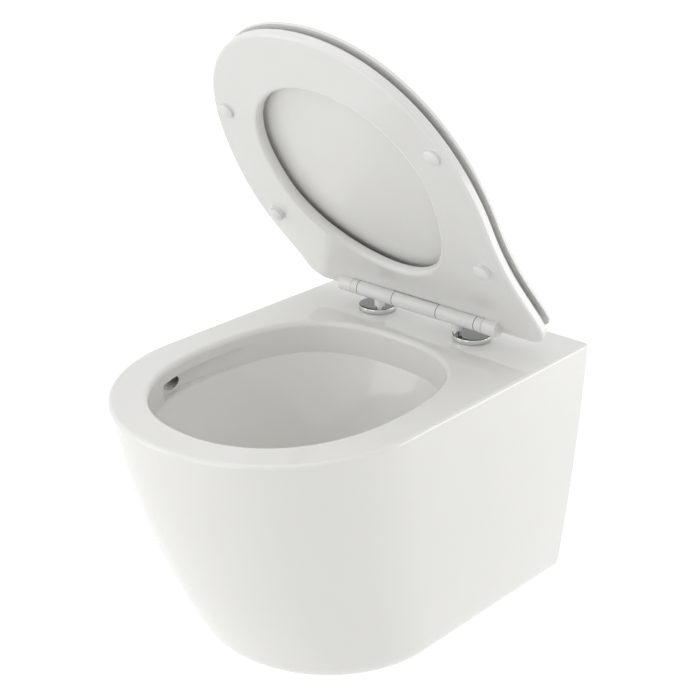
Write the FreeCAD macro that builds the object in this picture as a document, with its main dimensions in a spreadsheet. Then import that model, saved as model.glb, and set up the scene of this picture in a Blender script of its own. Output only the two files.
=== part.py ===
import FreeCAD, Part
import math
import os
import Sketcher
from FreeCAD import Placement, Rotation, Vector

# A wall hung toilet with a rimless bowl and a slim seat and lid, in millimetres.
# The wall is the plane Y = 0, the bowl points to -Y, and +X is the right side seen from the front.
# The origin is halfway between the two wall fixing holes. Heights that start with "down" are
# measured down from the rim, and seat heights are measured from the hinge axis with the seat shut.

DOC = FreeCAD.newDocument("WallHungToilet")
SHEET = DOC.addObject("Spreadsheet::Sheet", "Sizes")

SIZES = {
    # pan, outside
    "rim_above_fixings": 80.0,
    "pan_height": 323.0,
    "pan_width_rim": 371.0,
    "pan_width_middle": 354.0,
    "pan_width_foot": 323.0,
    "pan_length_rim": 516.0,
    "pan_length_middle": 474.0,
    "pan_length_foot": 399.0,
    "front_curve_rim": 189.0,
    "front_curve_middle": 176.0,
    "front_curve_foot": 146.0,
    "down_middle": 160.0,
    "front_fullness": 0.728,
    "foot_radius_front": 41.0,
    "foot_radius_wall": 24.0,
    "rim_outer_radius": 4.0,
    "rim_inner_radius": 6.0,
    "china_wall": 11.0,
    "deck_thickness": 44.0,
    # bowl
    "bowl_centre_from_wall": 300.0,
    "bowl_half_width": 142.0,
    "bowl_front_reach": 172.0,
    "bowl_back_reach": 167.5,
    "bowl_front_fullness": 0.86,
    "bowl_back_fullness": 1.16,
    "bowl_side_depth": 40.0,
    "bowl_mid_depth": 150.0,
    "bowl_mid_half_width": 96.0,
    "bowl_mid_from_wall": 284.0,
    "bowl_mid_front_reach": 128.0,
    "bowl_mid_back_reach": 100.0,
    "sump_depth": 284.0,
    "sump_half_width": 37.0,
    "sump_front_reach": 40.0,
    "sump_centre_from_wall": 268.0,
    "sump_back_reach": 36.0,
    "sump_floor_radius": 20.0,
    # flush channels and inlet
    "channel_top_depth": 17.0,
    "channel_height": 20.0,
    "channel_side_shift": 4.0,
    "channel_front_shift": 14.0,
    "channel_front_from_wall": 388.0,
    "channel_back_from_wall": 222.0,
    "flush_way_radius": 8.0,
    "flush_way_margin": 3.0,
    "flush_way_outward": 17.0,
    "flush_way_back_side": 99.0,
    "flush_way_back_bend": 50.0,
    "flush_way_corner_from_wall": 175.0,
    "flush_way_corner_bend": 60.0,
    "flush_way_mouth_run": 26.0,
    "flush_way_mouth_bend": 30.0,
    "inlet_above_fixings": 35.0,
    "inlet_radius": 27.5,
    "inlet_depth": 118.0,
    "inlet_wall": 10.0,
    # trapway and waste
    "waste_below_fixings": 100.0,
    "waste_outer_radius": 51.0,
    "waste_inner_radius": 41.0,
    "waste_length": 40.0,
    "trap_radius": 27.0,
    "trap_wall": 9.0,
    "trap_entry_depth": 255.0,
    "trap_turn_from_wall": 205.0,
    "trap_crest_from_wall": 108.0,
    "trap_crest_depth": 112.0,
    "trap_fall_from_wall": 50.0,
    "trap_entry_bend": 50.0,
    "trap_crest_bend": 40.0,
    "trap_outlet_bend": 45.0,
    # wall fixings
    "fixing_spacing": 180.0,
    "fixing_hole_radius": 10.0,
    "fixing_boss_radius": 25.0,
    "fixing_boss_depth": 40.0,
    "sleeve_flange_radius": 18.0,
    "sleeve_flange_height": 2.5,
    "stud_hole_radius": 6.5,
    "access_radius": 30.0,
    "access_from_wall": 84.0,
    "fit_gap": 0.1,
    # seat hinge
    "hinge_from_wall": 90.0,
    "hinge_above_rim": 27.0,
    "bar_radius": 9.7,
    "knuckle_half_length": 33.8,
    "barrel_start": 34.2,
    "barrel_end": 90.0,
    "collar_start": 90.3,
    "boss_start": 101.0,
    "boss_end": 120.0,
    "shaft_radius": 3.0,
    "shaft_running_gap": 0.05,
    "shaft_press_gap": 0.02,
    "shaft_grip": 16.0,
    "plain_bore_depth": 15.0,
    "damper_radius": 6.4,
    "damper_length": 34.0,
    "rotor_depth": 18.0,
    "disc_radius": 23.5,
    "disc_thickness": 6.0,
    "disc_from_centre": 73.4,
    "disc_from_wall": 78.0,
    "gasket_thickness": 1.0,
    "gasket_radius": 22.0,
    "pin_from_centre": 60.0,
    "pin_radius": 4.5,
    "pin_seat_depth": 4.0,
    "pin_above_rim": 18.4,
    "neck_radius": 6.5,
    "neck_above_rim": 11.5,
    # seat fixing bolts
    "bolt_spacing": 155.0,
    "bolt_radius": 4.0,
    "bolt_grip": 4.5,
    "bolt_length": 76.0,
    "bolt_hole_radius": 7.0,
    "bush_flange_radius": 13.0,
    "bush_flange_height": 2.0,
    "bush_depth": 22.0,
    "washer_radius": 12.0,
    "washer_thickness": 1.6,
    "nut_radius": 11.0,
    "nut_height": 10.0,
    # seat and lid
    "raised_angle": 60.0,
    "seat_half_width": 181.0,
    "seat_front_reach": 420.0,
    "seat_front_curve": 230.0,
    "seat_front_fullness": 0.85,
    "seat_corner_radius": 24.0,
    "seat_rear_reach": 12.0,
    "seat_above_rim": 6.0,
    "seat_thickness": 13.0,
    "seat_under_radius": 3.0,
    "seat_top_radius": 4.0,
    "seat_hole_centre": 226.5,
    "seat_hole_half_width": 116.0,
    "seat_hole_front_reach": 122.0,
    "seat_hole_back_reach": 160.0,
    "seat_hole_front_fullness": 0.76,
    "seat_hole_back_fullness": 0.66,
    "seat_hole_radius": 6.0,
    "rise_start": 190.0,
    "rise_height": 26.0,
    "rise_first_pull": 100.0,
    "rise_second_pull": 40.0,
    "lid_gap": 6.0,
    "lid_thickness": 5.0,
    "lid_rear_reach": 2.0,
    "lid_edge_radius": 1.8,
    "hinge_gap": 0.6,
    "lug_half_width": 30.0,
    "lug_back": 1.5,
    "lug_front": 6.0,
    "lug_pad_drop": 1.0,
    "buffer_radius": 9.5,
    "buffer_socket": 2.0,
    "buffer_rest_gap": 0.3,
    "buffer_crown": 3.0,
    "front_buffer_reach": 294.0,
    "front_buffer_side": 147.0,
    "rear_buffer_reach": 130.0,
    "rear_buffer_side": 153.0,
    "lid_buffer_reach": 330.0,
    "lid_buffer_side": 110.0,
    "lid_buffer_radius": 8.0,
}

for row, (alias, value) in enumerate(SIZES.items(), start=1):
    SHEET.set(f"A{row}", alias)
    SHEET.set(f"B{row}", str(value))
    SHEET.setAlias(f"B{row}", alias)
DOC.recompute()


def size(alias):
    """A driving dimension, read back from the sheet."""
    return float(SHEET.get(alias))


SIDES = (("left", -1), ("right", 1))
X_AXIS = Vector(1, 0, 0)
Y_AXIS = Vector(0, 1, 0)
Z_AXIS = Vector(0, 0, 1)
RIM = size("rim_above_fixings")
FOOT = RIM - size("pan_height")
HINGE = Vector(0, -size("hinge_from_wall"), RIM + size("hinge_above_rim"))
RAISED = Placement(HINGE, Rotation(X_AXIS, -size("raised_angle")))
SEAT_UNDER = size("seat_above_rim") - size("hinge_above_rim")
SEAT_TOP = SEAT_UNDER + size("seat_thickness")
LID_UNDER = SEAT_TOP + size("lid_gap")
LID_TOP = LID_UNDER + size("lid_thickness")
PAST = 20.0
LEVEL_TOLERANCE = 0.01
LOFT_STEPS = 7
HALVINGS = 40


# ---------------------------------------------------------------- free forms of the china, seat and lid


def quarter_curve(start, corner, end, fullness):
    """A quarter of a rounded outline. A fullness of 0.7071 is a true ellipse, and more is squarer."""
    curve = Part.BSplineCurve()
    curve.buildFromPolesMultsKnots([start, corner, end], [3, 3], [0, 1], False, 2, [1, fullness, 1])
    return curve.toShape()


def oval(half_width, front, back, centre, front_fullness, back_fullness, z, shift=Vector()):
    """A closed egg-shaped wire around X = 0, with its widest line `centre` mm in front of the wall."""
    middle = -centre
    right = Vector(half_width, middle, z)
    left = Vector(-half_width, middle, z)
    tip = Vector(0, middle - front, z)
    tail = Vector(0, middle + back, z)
    edges = [
        quarter_curve(right, Vector(half_width, middle - front, z), tip, front_fullness),
        quarter_curve(tip, Vector(-half_width, middle - front, z), left, front_fullness),
        quarter_curve(left, Vector(-half_width, middle + back, z), tail, back_fullness),
        quarter_curve(tail, Vector(half_width, middle + back, z), right, back_fullness),
    ]
    wire = Part.Wire(edges)
    wire.translate(shift)
    return wire


def block(x_low, x_high, y_low, y_high, z_low, z_high):
    """A plain box between two corners."""
    box = Part.makeBox(x_high - x_low, y_high - y_low, z_high - z_low)
    box.translate(Vector(x_low, y_low, z_low))
    return box


def skirt_size(stem, depth):
    """A width, length or front curve of the skirt at a depth below the rim, from its three levels."""
    top = size(f"{stem}_rim")
    middle = size(f"{stem}_middle")
    foot = size(f"{stem}_foot")
    halfway = size("down_middle")
    full = size("pan_height")
    first = (middle - top) / halfway
    second = ((foot - top) / full - first) / (full - halfway)
    return top + depth * (first + second * (depth - halfway))


def foot_inset(radius, slope, height):
    """How far a rounded foot lies inside a wall of this slope, at a height above the floor."""
    lean = math.atan(slope)
    reach = radius * math.tan((math.pi / 2 - lean) / 2)
    if height >= reach * math.cos(lean):
        return 0.0
    return height * slope + reach - math.sqrt(2 * radius * height - height ** 2)


def skirt_outline(height, inset):
    """A level section of the skirt, `height` above its floor: straight back and sides, round front."""
    depth = size("pan_height") - inset - height
    foot = size("pan_height") - inset
    side_slope = (skirt_size("pan_width", foot - 1) - skirt_size("pan_width", foot)) / 2
    tip_slope = skirt_size("pan_length", foot - 1) - skirt_size("pan_length", foot)
    front_radius = size("foot_radius_front") - inset
    wall_radius = size("foot_radius_wall") - inset
    half = skirt_size("pan_width", depth) / 2 - inset
    at_wall = half - foot_inset(wall_radius, side_slope, height)
    at_turn = half - foot_inset(front_radius, side_slope, height)
    full_tip = skirt_size("pan_length", depth) - inset
    tip = full_tip - foot_inset(front_radius, tip_slope, height)
    turn = skirt_size("pan_length", depth) - skirt_size("front_curve", depth)
    corner = at_turn - (at_wall - at_turn) / (turn + PAST) * (tip - turn)
    z = RIM - depth
    fullness = size("front_fullness")
    nose = Vector(0, -tip, z)
    edges = [
        Part.makeLine(Vector(at_wall, PAST, z), Vector(at_turn, -turn, z)),
        quarter_curve(Vector(at_turn, -turn, z), Vector(corner, -tip, z), nose, fullness),
        quarter_curve(nose, Vector(-corner, -tip, z), Vector(-at_turn, -turn, z), fullness),
        Part.makeLine(Vector(-at_turn, -turn, z), Vector(-at_wall, PAST, z)),
        Part.makeLine(Vector(-at_wall, PAST, z), Vector(at_wall, PAST, z)),
    ]
    return Part.Wire(edges)


def skirt_form(inset, top):
    """The outside of the pan, or with an inset the space inside its walls, up to a level `top`."""
    full = top - FOOT - inset
    rounded = size("foot_radius_front") - inset
    heights = [rounded * (step / LOFT_STEPS) ** 2 for step in range(LOFT_STEPS + 1)]
    heights += [rounded + (full - rounded) * step / LOFT_STEPS for step in range(2, LOFT_STEPS + 1)]
    return Part.makeLoft([skirt_outline(height, inset) for height in heights], True, False)


def edges_at(shape, z, keep):
    """The edges that lie wholly at height z and pass the test `keep` at their middle."""
    found = []
    for edge in shape.Edges:
        box = edge.BoundBox
        level = max(abs(box.ZMin - z), abs(box.ZMax - z)) < LEVEL_TOLERANCE
        if level and keep(box):
            found.append(edge)
    return found


def bowl_form(wall):
    """The inside of the bowl, or with a wall thickness the outside of its china."""
    centre = size("bowl_centre_from_wall")
    front = size("bowl_front_fullness")
    back = size("bowl_back_fullness")

    def rim_section(z):
        return oval(
            size("bowl_half_width") + wall,
            size("bowl_front_reach") + wall,
            size("bowl_back_reach") + wall,
            centre, front, back, z,
        )

    side = RIM - size("bowl_side_depth")
    throat = Part.makeLoft([rim_section(RIM + PAST), rim_section(side)], True, True)
    middle = oval(
        size("bowl_mid_half_width") + wall,
        size("bowl_mid_front_reach") + wall,
        size("bowl_mid_back_reach") + wall,
        size("bowl_mid_from_wall"),
        front, back, RIM - size("bowl_mid_depth"),
    )
    sump = oval(
        size("sump_half_width") + wall,
        size("sump_front_reach") + wall,
        size("sump_back_reach") + wall,
        size("sump_centre_from_wall"),
        front, front, RIM - size("sump_depth") - wall,
    )
    basin = Part.makeLoft([rim_section(side), middle, sump], True, False)
    floor = edges_at(basin, RIM - size("sump_depth") - wall, lambda box: True)
    basin = basin.makeFillet(size("sump_floor_radius"), floor)
    return throat.fuse(basin)


def bent_tube(points, bends, radius):
    """A round tube along straight runs, with a tangent arc of the given radius at each inner point."""
    edges = []
    start = points[0]
    for before, corner, after, bend in zip(points, points[1:], points[2:], bends):
        arriving = (corner - before).normalize()
        leaving = (after - corner).normalize()
        half_turn = arriving.getAngle(leaving) / 2
        reach = bend * math.tan(half_turn)
        first = corner - arriving * reach
        last = corner + leaving * reach
        inward = (leaving - arriving).normalize()
        middle = corner + inward * (bend / math.cos(half_turn) - bend)
        edges.append(Part.makeLine(start, first))
        edges.append(Part.Arc(first, middle, last).toShape())
        start = last
    edges.append(Part.makeLine(start, points[-1]))
    ring = Part.Wire(Part.makeCircle(radius, points[0], points[1] - points[0]))
    return Part.Wire(edges).makePipeShell([ring], True, False)


def trap_form(wall):
    """The water way from the sump over its crest to the waste spigot."""
    points = [
        Vector(0, -size("sump_centre_from_wall"), RIM - size("trap_entry_depth")),
        Vector(0, -size("trap_turn_from_wall"), RIM - size("trap_entry_depth")),
        Vector(0, -size("trap_crest_from_wall"), RIM - size("trap_crest_depth")),
        Vector(0, -size("trap_fall_from_wall"), -size("waste_below_fixings")),
        Vector(0, -size("waste_length") / 3, -size("waste_below_fixings")),
    ]
    bends = [size("trap_entry_bend"), size("trap_crest_bend"), size("trap_outlet_bend")]
    return bent_tube(points, bends, size("trap_radius") + wall)


def bar(radius, start, direction, length):
    """A plain round bar, used for bosses and for drilled holes."""
    return Part.makeCylinder(radius, length, start, direction)


def flush_channel(side):
    """The open groove in one side wall of the bowl, deep in front and running out to the back."""
    shift = Vector(side * size("channel_side_shift"), -size("channel_front_shift"), 0)
    floor = RIM - size("channel_top_depth") - size("channel_height")
    wires = [
        oval(
            size("bowl_half_width"), size("bowl_front_reach"), size("bowl_back_reach"),
            size("bowl_centre_from_wall"), size("bowl_front_fullness"), size("bowl_back_fullness"),
            height, shift,
        )
        for height in (floor, floor + size("channel_height"))
    ]
    groove = Part.makeLoft(wires, True, True)
    wide = side * size("pan_width_rim")
    room = block(
        min(0, wide), max(0, wide), -size("channel_front_from_wall"), -size("channel_back_from_wall"),
        floor, floor + size("channel_height"),
    )
    return groove.common(room)


def flush_way(side):
    """The hidden way from the inlet chamber around the bowl to the front end of one groove."""
    z = RIM - size("channel_top_depth") - size("channel_height") / 2
    back = size("inlet_depth")
    margin = size("flush_way_margin")
    radius = size("flush_way_radius")
    outer = size("bowl_half_width") + size("flush_way_outward")
    run = size("flush_way_mouth_run")
    mouth = size("channel_front_from_wall") - size("flush_way_outward")
    points = [
        Vector(0, radius + margin - back, z),
        Vector(side * size("flush_way_back_side"), margin - back, z),
        Vector(side * outer, -size("flush_way_corner_from_wall"), z),
        Vector(side * outer, run - mouth, z),
        Vector(side * (outer - run), -mouth, z),
    ]
    bends = [size("flush_way_back_bend"), size("flush_way_corner_bend"), size("flush_way_mouth_bend")]
    return bent_tube(points, bends, radius)


def fixing_lug(side):
    """The thick lug round one wall fixing hole, joined to the deck above and the side wall."""
    x = side * size("fixing_spacing") / 2
    radius = size("fixing_boss_radius")
    depth = size("fixing_boss_depth")
    boss = bar(radius, Vector(x, PAST, 0), -Y_AXIS, depth + PAST)
    web = block(x - radius, x + radius, -depth, PAST, 0, RIM - size("deck_thickness") / 2)
    wall_x = side * size("pan_width_rim") / 2
    arm = block(min(x, wall_x), max(x, wall_x), -depth, PAST, -radius, radius)
    return boss.fuse([web, arm])


def china_cuts():
    """Every space and hole that goes into the china, whichever casting it meets."""
    inlet_start = Vector(0, PAST, size("inlet_above_fixings"))
    waste_start = Vector(0, PAST, -size("waste_below_fixings"))
    wide = size("pan_width_rim")
    cuts = [
        bowl_form(0),
        trap_form(0),
        bar(size("inlet_radius"), inlet_start, -Y_AXIS, size("inlet_depth") + PAST),
        bar(size("waste_inner_radius"), waste_start, -Y_AXIS, size("waste_length") + PAST),
        block(-wide, wide, 0, 2 * PAST, FOOT - PAST, RIM + PAST),
    ]
    for _, side in SIDES:
        cuts.append(flush_channel(side))
        cuts.append(flush_way(side))
        stud = Vector(side * size("fixing_spacing") / 2, PAST, 0)
        cuts.append(bar(size("fixing_hole_radius"), stud, -Y_AXIS, size("fixing_boss_depth") + 2 * PAST))
        bolt = Vector(side * size("bolt_spacing") / 2, -size("disc_from_wall"), RIM + PAST)
        cuts.append(bar(size("bolt_hole_radius"), bolt, -Z_AXIS, size("deck_thickness") + 2 * PAST))
        hatch = Vector(side * size("fixing_spacing") / 2, -size("access_from_wall"), FOOT - PAST)
        cuts.append(bar(size("access_radius"), hatch, Z_AXIS, size("china_wall") + 2 * PAST))
    return cuts


def make_china():
    """The castings of the china, by name, each cut out of its neighbours where they join."""
    wall = size("china_wall")
    waste_start = Vector(0, PAST, -size("waste_below_fixings"))
    wide = size("pan_width_rim")
    seam = RIM - size("bowl_side_depth")
    whole_bowl = bowl_form(wall)
    bowl = whole_bowl.common(block(-wide, wide, -size("pan_length_rim"), 0, FOOT, seam))
    spigot = bar(size("waste_outer_radius"), waste_start, -Y_AXIS, size("waste_length") + PAST)
    trapway = trap_form(size("trap_wall")).fuse(spigot).cut(whole_bowl)
    half = size("inlet_radius") + size("inlet_wall")
    level = size("inlet_above_fixings")
    inlet = block(
        -half, half, -size("inlet_depth") - wall, PAST, level - half, level + half
    ).cut([whole_bowl, trapway])
    outside = skirt_form(0, RIM)
    hollow = skirt_form(wall, RIM - size("deck_thickness"))
    inner = [bowl, trapway, inlet]
    shell = outside.cut(hollow).cut(inner)
    above = block(
        -wide, wide, -size("pan_length_rim") - PAST, PAST, RIM - size("deck_thickness"), RIM + PAST
    )
    forms = {
        "pan": shell.common(above),
        "skirt": shell.cut(above),
        "bowl": bowl,
        "trapway": trapway,
        "inlet_socket": inlet,
    }
    for name, side in SIDES:
        forms[f"fixing_lug_{name}"] = fixing_lug(side).common(hollow).cut(inner)

    cuts = china_cuts()
    castings = {name: form.cut(cuts) for name, form in forms.items()}
    pan = castings["pan"]
    inside = size("bowl_half_width") + wall / 2
    outer = edges_at(pan, RIM, lambda box: box.YMin < -wall and max(box.XMax, -box.XMin) > inside)
    pan = pan.makeFillet(size("rim_outer_radius"), outer)
    behind_bowl = size("bowl_centre_from_wall") - size("bowl_back_reach") - wall
    lip = edges_at(
        pan, RIM, lambda box: box.YMax < -behind_bowl and max(box.XMax, -box.XMin) < inside
    )
    castings["pan"] = pan.makeFillet(size("rim_inner_radius"), lip)
    return castings


def side_profile(under, top, rear):
    """The side view of the seat or lid, flat in front and rising in an S to the hinge."""
    start = size("rise_start")
    rise = size("rise_height")
    tip = size("seat_front_reach") + PAST
    lines = []
    for level in (under, top):
        flat = Part.makeLine(Vector(0, -tip, level), Vector(0, -start, level))
        curve = Part.BezierCurve()
        curve.setPoles([
            Vector(0, -start, level),
            Vector(0, -size("rise_first_pull"), level),
            Vector(0, -size("rise_second_pull"), level + rise),
            Vector(0, rear, level + rise),
        ])
        lines.append([flat, curve.toShape()])
    low, high = lines
    back = Part.makeLine(Vector(0, rear, under + rise), Vector(0, rear, top + rise))
    nose = Part.makeLine(Vector(0, -tip, top), Vector(0, -tip, under))
    return Part.Face(Part.Wire(low + [back] + high[::-1] + [nose]))


def seat_outline(rear, z):
    """The outline that the seat and the lid share, seen from above, open side at the hinge."""
    half = size("seat_half_width")
    tip = size("seat_front_reach")
    turn = tip - size("seat_front_curve")
    corner = size("seat_corner_radius")
    fullness = size("seat_front_fullness")
    nose = Vector(0, -tip, z)
    edges = [
        Part.makeLine(Vector(half, rear - corner, z), Vector(half, -turn, z)),
        quarter_curve(Vector(half, -turn, z), Vector(half, -tip, z), nose, fullness),
        quarter_curve(nose, Vector(-half, -tip, z), Vector(-half, -turn, z), fullness),
        Part.makeLine(Vector(-half, -turn, z), Vector(-half, rear - corner, z)),
        quarter_curve(
            Vector(-half, rear - corner, z), Vector(-half, rear, z), Vector(corner - half, rear, z),
            math.sqrt(0.5),
        ),
        Part.makeLine(Vector(corner - half, rear, z), Vector(half - corner, rear, z)),
        quarter_curve(
            Vector(half - corner, rear, z), Vector(half, rear, z), Vector(half, rear - corner, z),
            math.sqrt(0.5),
        ),
    ]
    return Part.Wire(edges)


def rise_at(reach):
    """How far the seat has risen at `reach` mm in front of the hinge axis."""
    low = 0.0
    high = 1.0
    pulls = (size("rise_start"), size("rise_first_pull"), size("rise_second_pull"), -size("seat_rear_reach"))
    if reach >= pulls[0]:
        return 0.0
    for _ in range(HALVINGS):
        t = (low + high) / 2
        along = (
            pulls[0] * (1 - t) ** 3 + 3 * pulls[1] * t * (1 - t) ** 2
            + 3 * pulls[2] * t ** 2 * (1 - t) + pulls[3] * t ** 3
        )
        if along > reach:
            low = t
        else:
            high = t
    return size("rise_height") * (3 * t ** 2 * (1 - t) + t ** 3)


def curved_plate(under, top, rear):
    """A plate of the shared outline that follows the side profile."""
    profile = side_profile(under, top, rear)
    half = size("seat_half_width") + PAST
    profile.translate(Vector(-half, 0, 0))
    slab = profile.extrude(Vector(2 * half, 0, 0))
    low = SEAT_UNDER - PAST
    height = LID_TOP + size("rise_height") + PAST - low
    column = Part.Face(seat_outline(rear, low)).extrude(Vector(0, 0, height))
    return slab.common(column)


def rim_edges(plate, under, top, want_top):
    """The long edges round a curved plate, on its top or on its underside."""
    found = []
    middle = (under + top) / 2
    for edge in plate.Edges:
        point = middle_of(edge)
        box = edge.BoundBox
        if box.XLength + box.YLength < size("lid_edge_radius"):
            continue
        height = point.z - rise_at(-point.y)
        if (height > middle) == want_top:
            found.append(edge)
    return found


def middle_of(edge):
    """The point halfway along an edge."""
    return edge.valueAt((edge.FirstParameter + edge.LastParameter) / 2)


def in_seat_hole(edge):
    """Whether an edge of the seat lies on its opening."""
    point = middle_of(edge)
    reach = max(size("seat_hole_front_reach"), size("seat_hole_back_reach"))
    across = point.x / size("seat_hole_half_width")
    along = (point.y + size("seat_hole_centre")) / reach
    return math.hypot(across, along) < 1 + size("seat_hole_radius") / reach


def on_outline(edge):
    """Whether an edge of the seat lies on its outer outline."""
    point = middle_of(edge)
    outline = seat_outline(size("seat_rear_reach"), point.z)
    return outline.distToShape(Part.Vertex(point))[0] < size("fit_gap")


def buffer_places():
    """Name, side, reach from the axis, and underside height of each of the four seat buffers."""
    places = []
    for name, side in SIDES:
        for end in ("front", "rear"):
            reach = size(f"{end}_buffer_reach")
            x = side * size(f"{end}_buffer_side")
            under = SEAT_UNDER + rise_at(reach - size("buffer_radius") if end == "rear" else reach)
            places.append((f"seat_buffer_{end}_{name}", x, reach, under + size("buffer_socket")))
    return places


def make_seat():
    """The seat ring, shut, with the hinge axis as its X axis."""
    rear = size("seat_rear_reach")
    plate = curved_plate(SEAT_UNDER, SEAT_TOP, rear)
    hole = oval(
        size("seat_hole_half_width"), size("seat_hole_front_reach"), size("seat_hole_back_reach"),
        size("seat_hole_centre"), size("seat_hole_front_fullness"), size("seat_hole_back_fullness"),
        SEAT_UNDER - PAST,
    )
    plate = plate.cut(Part.Face(hole).extrude(Vector(0, 0, size("seat_thickness") + 3 * PAST)))
    top = rim_edges(plate, SEAT_UNDER, SEAT_TOP, True)
    plate = plate.makeFillet(size("seat_top_radius"), top)
    under = rim_edges(plate, SEAT_UNDER, SEAT_TOP, False)
    round_hole = [edge for edge in under if in_seat_hole(edge)]
    plate = plate.makeFillet(size("seat_hole_radius"), round_hole)
    under = rim_edges(plate, SEAT_UNDER, SEAT_TOP, False)
    plate = plate.makeFillet(size("seat_under_radius"), [edge for edge in under if on_outline(edge)])

    bosses = [
        bar(size("bar_radius"), X_AXIS * (side * size("boss_start")), X_AXIS * side,
            size("boss_end") - size("boss_start"))
        for _, side in SIDES
    ]
    seat = plate.fuse(bosses)
    room = size("bar_radius") + size("hinge_gap")
    start = size("boss_start")
    notch = size("knuckle_half_length") + size("hinge_gap")
    cuts = [
        bar(room, X_AXIS * -start, X_AXIS, 2 * start),
        block(-start, start, 0, rear + PAST, -PAST, room),
        block(-notch, notch, -room, rear + PAST, -PAST, size("rise_height") + PAST),
    ]
    for _, x, reach, height in buffer_places():
        socket = size("buffer_radius") + size("fit_gap")
        cuts.append(bar(socket, Vector(x, -reach, height), -Z_AXIS, 3 * PAST))
    for _, side in SIDES:
        bore = size("shaft_radius") + size("shaft_press_gap")
        cuts.append(bar(bore, X_AXIS * (side * start), X_AXIS * side, size("shaft_grip")))
    return seat.cut(cuts).Solids[0]


def make_lid():
    """The lid, shut, with the hinge axis as its X axis, and the pad that carries its knuckle."""
    plate = curved_plate(LID_UNDER, LID_TOP, size("lid_rear_reach"))
    edges = rim_edges(plate, LID_UNDER, LID_TOP, True)
    plate = plate.makeFillet(2 * size("lid_edge_radius"), edges)
    edges = rim_edges(plate, LID_UNDER, LID_TOP, False)
    plate = plate.makeFillet(size("lid_edge_radius") / 2, edges)
    ceiling = LID_UNDER + size("rise_height")
    pad = block(
        -size("lug_half_width"), size("lug_half_width"), -size("lug_front"), size("lug_back"),
        ceiling - size("lug_pad_drop"), ceiling + size("lid_thickness") / 2,
    )
    return plate.fuse(pad).removeSplitter().Solids[0]


def make_lid_knuckle():
    """The middle of the hinge bar with the lug that reaches up to the lid."""
    half = size("knuckle_half_length")
    body = bar(size("bar_radius"), X_AXIS * -half, X_AXIS, 2 * half)
    lug = block(
        -size("lug_half_width"), size("lug_half_width"), -size("lug_front"), size("lug_back"),
        0, LID_UNDER + size("rise_height") - size("lug_pad_drop"),
    )
    knuckle = body.fuse(lug)
    bore = size("shaft_radius") + size("shaft_press_gap")
    cuts = [
        bar(bore, X_AXIS * (side * half), X_AXIS * -side, size("shaft_grip")) for _, side in SIDES
    ]
    return knuckle.cut(cuts).removeSplitter()


def sculpted(label, shape, placement=Placement()):
    """Adds a free-form sub-part to the document."""
    part = DOC.addObject("Part::Feature", label)
    part.Label = label
    part.Shape = shape
    part.Placement = placement
    return part


# ---------------------------------------------------------------- turned and drilled small parts

AXES = {
    "x": Rotation(Y_AXIS, 90), "-x": Rotation(Y_AXIS, -90), "-y": Rotation(X_AXIS, 90),
    "z": Rotation(), "-z": Rotation(X_AXIS, 180),
}


def expr(text):
    """Writes sheet aliases in an expression in full, so that a bare alias can be used below."""
    words = []
    for word in text.replace("(", "( ").replace(")", " )").split():
        words.append(f"Sizes.{word}" if word in SIZES else word)
    return " ".join(words)


def place(part, x, y, z):
    """Binds a sub-part's position to the sheet."""
    for name, text in (("x", x), ("y", y), ("z", z)):
        part.setExpression(f"Placement.Base.{name}", expr(text))


def rod(name, radius, length, x, y, z, axis="z"):
    """A cylinder from the point x, y, z along an axis, all bound to the sheet."""
    part = DOC.addObject("Part::Cylinder", name)
    part.setExpression("Radius", expr(radius))
    part.setExpression("Height", expr(length))
    part.Placement = Placement(Vector(), AXES[axis])
    place(part, x, y, z)
    return part


def less(name, base, *tools):
    """The base with each tool cut out of it, in turn."""
    for number, tool in enumerate(tools, start=1):
        cut = DOC.addObject("Part::Cut", f"{name}_cut{number}")
        cut.Base = base
        cut.Tool = tool
        base = cut
    base.Label = name
    return base


def joined(name, *pieces):
    """Several forms fused into one."""
    fusion = DOC.addObject("Part::MultiFuse", f"{name}_form")
    fusion.Shapes = list(pieces)
    fusion.Label = name
    return fusion


def origin_plane(body, role):
    """One of a body's own origin planes."""
    return next(item for item in body.Origin.OriginFeatures if item.Role == role)


def circle_sketch(body, name, radius, x="0", y="0"):
    """A sketch on the body's XY plane with one circle, its radius and centre bound to the sheet."""
    sketch = body.newObject("Sketcher::SketchObject", name)
    sketch.AttachmentSupport = (origin_plane(body, "XY_Plane"), [""])
    sketch.MapMode = "FlatFace"
    sketch.addGeometry(Part.Circle(Vector(), Z_AXIS, 1.0), False)
    for constraint, label, text in (
        (Sketcher.Constraint("Radius", 0, 1.0), "radius", radius),
        (Sketcher.Constraint("DistanceX", -1, 1, 0, 3, 1.0), "across", x),
        (Sketcher.Constraint("DistanceY", -1, 1, 0, 3, 1.0), "along", y),
    ):
        index = sketch.addConstraint(constraint)
        sketch.renameConstraint(index, label)
        sketch.setExpression(f"Constraints.{label}", expr(text))
    return sketch


def plate_body(label, radius, thickness, holes=()):
    """A round plate with round holes through it, each hole given as radius, x and y."""
    body = DOC.addObject("PartDesign::Body", label)
    body.Label = label
    pad = body.newObject("PartDesign::Pad", "Plate")
    pad.Profile = circle_sketch(body, "Outline", radius)
    pad.setExpression("Length", expr(thickness))
    for number, (hole_radius, x, y) in enumerate(holes, start=1):
        pocket = body.newObject("PartDesign::Pocket", f"Hole{number}")
        pocket.Profile = circle_sketch(body, f"HoleOutline{number}", hole_radius, x, y)
        pocket.Type = 1
        pocket.Reversed = True
    return body


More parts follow.
